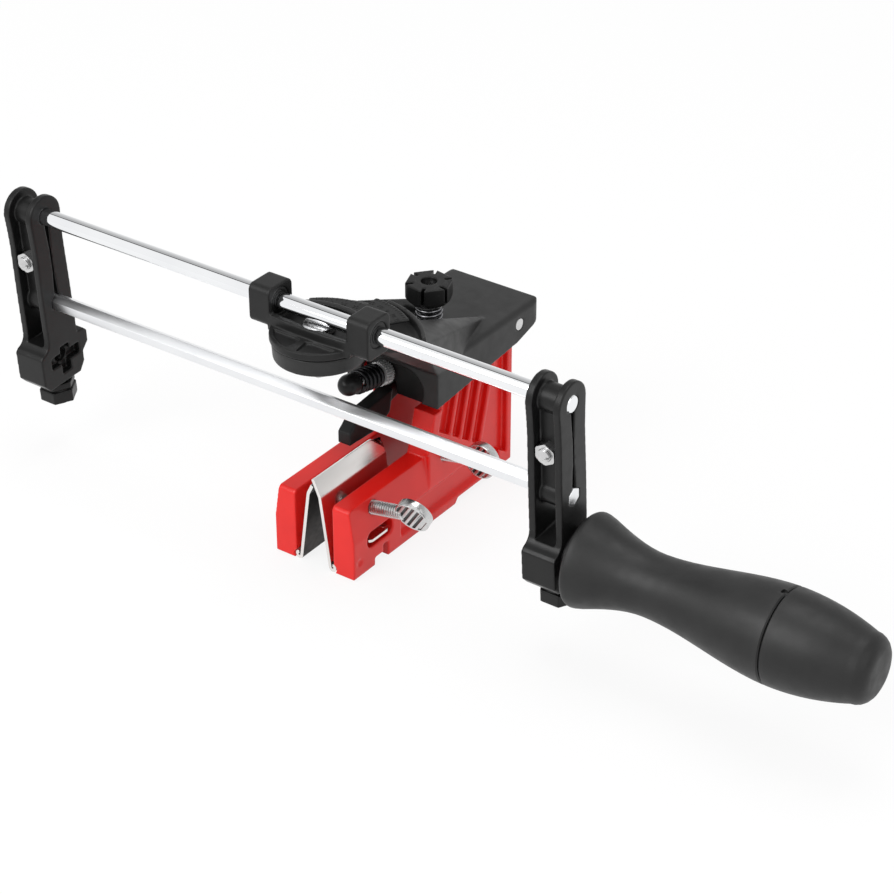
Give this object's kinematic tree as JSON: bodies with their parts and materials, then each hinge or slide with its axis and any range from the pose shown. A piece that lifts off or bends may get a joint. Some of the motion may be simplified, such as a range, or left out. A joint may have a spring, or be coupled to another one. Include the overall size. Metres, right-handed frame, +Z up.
{
  "type": "bar-mounted chainsaw sharpener",
  "caption": "Filing guide that clamps on a saw's guide bar: hinged index arm, swivel guide, sliding rod frame with file sockets, adjustable chain stop and a turned handle.",
  "frame": {"origin": "midway between the clamp's jaws, under the swivel axis, level with the jaw tops", "axes": "+X along the rods toward the handle, +Y to the rear of the clamp, +Z up"},
  "size_m": [0.3422, 0.1191, 0.1033],
  "materials": {
    "red_paint": "gloss",
    "sheet_steel": "satin",
    "zinc_steel": "satin",
    "rod_steel": "polished",
    "spring_steel": "bright",
    "dark_spring": "oiled",
    "black_plastic": "satin",
    "grip_plastic": "satin"
  },
  "bodies": {
    "clamp": {"clamp_casting": "red_paint", "arm_hinge_pin": "zinc_steel", "stop_plate": "black_plastic", "adjuster_collar": "zinc_steel"},
    "left_plate": {"bar_plate_left": "sheet_steel"},
    "right_plate": {"bar_plate_right": "sheet_steel"},
    "front_screw": {"thumbscrew_front": "zinc_steel"},
    "rear_screw": {"thumbscrew_rear": "zinc_steel"},
    "arm": {"index_arm": "black_plastic", "pivot_bolt": "zinc_steel", "pivot_washer": "zinc_steel", "pivot_nut": "zinc_steel", "height_spring": "spring_steel"},
    "spring_washer": {"height_washer": "zinc_steel"},
    "height_control": {"height_knob": "black_plastic", "height_screw": "zinc_steel"},
    "swivel": {"swivel_guide": "black_plastic"},
    "bushes": {"guide_bush_left": "black_plastic", "guide_bush_right": "black_plastic"},
    "filing_frame": {"upper_rod": "rod_steel", "lower_bar": "rod_steel", "bracket_left": "black_plastic", "bracket_right": "black_plastic", "pinch_bolt_left": "zinc_steel", "pinch_bolt_right": "zinc_steel", "pinch_nut_left": "zinc_steel", "pinch_nut_right": "zinc_steel", "handle_grip": "grip_plastic", "handle_end_cap": "grip_plastic", "handle_bolt": "zinc_steel"},
    "left_file_clamp": {"clamp_screw_left": "zinc_steel", "clamp_knob_left": "black_plastic"},
    "right_file_clamp": {"clamp_screw_right": "zinc_steel", "clamp_knob_right": "black_plastic"},
    "stop_adjuster": {"adjuster_screw": "zinc_steel", "adjuster_cap": "black_plastic", "adjuster_spring": "dark_spring"},
    "stop_carriage": {"pawl_carriage": "black_plastic", "pawl_pin": "zinc_steel"},
    "stop_finger": {"pawl": "black_plastic"}
  },
  "joints": [
    {"name": "left_plate_hinge", "type": "hinge", "parent": "clamp", "child": "left_plate", "pos_m": [-0.0072, 0, -0.0256], "axis": [0, -1, 0], "range_deg": [0, 6]},
    {"name": "right_plate_hinge", "type": "hinge", "parent": "clamp", "child": "right_plate", "pos_m": [0.0072, 0, -0.0256], "axis": [0, 1, 0], "range_deg": [0, 6]},
    {"name": "front_screw_travel", "type": "slide", "parent": "clamp", "child": "front_screw", "axis": [0.9816, 0, 0.1908], "range_m": [0, 0.01]},
    {"name": "rear_screw_travel", "type": "slide", "parent": "clamp", "child": "rear_screw", "axis": [0.9816, 0, 0.1908], "range_m": [-0.0065, 0.006]},
    {"name": "arm_tilt", "type": "hinge", "parent": "clamp", "child": "arm", "pos_m": [0, 0.0885, 0.031], "axis": [-1, 0, 0], "range_deg": [-0.5, 4.5]},
    {"name": "height_travel", "type": "slide", "parent": "arm", "child": "spring_washer", "axis": [0, 0, 1], "range_m": [-0.0022, 0.0003], "deforming": ["height_spring"]},
    {"name": "height_turn", "type": "hinge", "parent": "spring_washer", "child": "height_control", "pos_m": [0, 0.061, 0.046], "axis": [0, 0, 1], "range_deg": [-790, 90]},
    {"name": "guide_swivel", "type": "hinge", "parent": "arm", "child": "swivel", "pos_m": [0, 0, 0.06], "axis": [0, 0, 1], "range_deg": [-35, 35]},
    {"name": "frame_swing", "type": "hinge", "parent": "swivel", "child": "bushes", "pos_m": [0, 0, 0.0685], "axis": [-1, 0, 0], "range_deg": [-4, 100]},
    {"name": "frame_stroke", "type": "slide", "parent": "bushes", "child": "filing_frame", "axis": [1, 0, 0], "range_m": [-0.015, 0.075]},
    {"name": "left_clamp_travel", "type": "slide", "parent": "filing_frame", "child": "left_file_clamp", "axis": [0, -0.0698, 0.9976], "range_m": [-0.002, 0.001]},
    {"name": "right_clamp_travel", "type": "slide", "parent": "filing_frame", "child": "right_file_clamp", "axis": [0, -0.0698, 0.9976], "range_m": [-0.002, 0.001]},
    {"name": "adjuster_turn", "type": "hinge", "parent": "clamp", "child": "stop_adjuster", "pos_m": [-0.0046, 0.017, 0.031], "axis": [0, 0.9781, -0.2079], "range_deg": [-735, 1455]},
    {"name": "carriage_travel", "type": "slide", "parent": "clamp", "child": "stop_carriage", "axis": [0, 0.9781, -0.2079], "range_m": [-0.002, 0.004]},
    {"name": "finger_flip", "type": "hinge", "parent": "stop_carriage", "child": "stop_finger", "pos_m": [-0.0046, 0.05006, 0.01723], "axis": [-1, 0, 0], "range_deg": [0, 7]}
  ],
  "couplings": [
    {"joint": "right_plate_hinge", "follows": "front_screw_travel", "rad_per_m": 10.472},
    {"joint": "height_travel", "follows": "arm_tilt", "m_per_rad": -0.0275},
    {"joint": "height_turn", "follows": "arm_tilt", "ratio": -172.79},
    {"joint": "adjuster_turn", "follows": "carriage_travel", "rad_per_m": 6283.2}
  ]
}
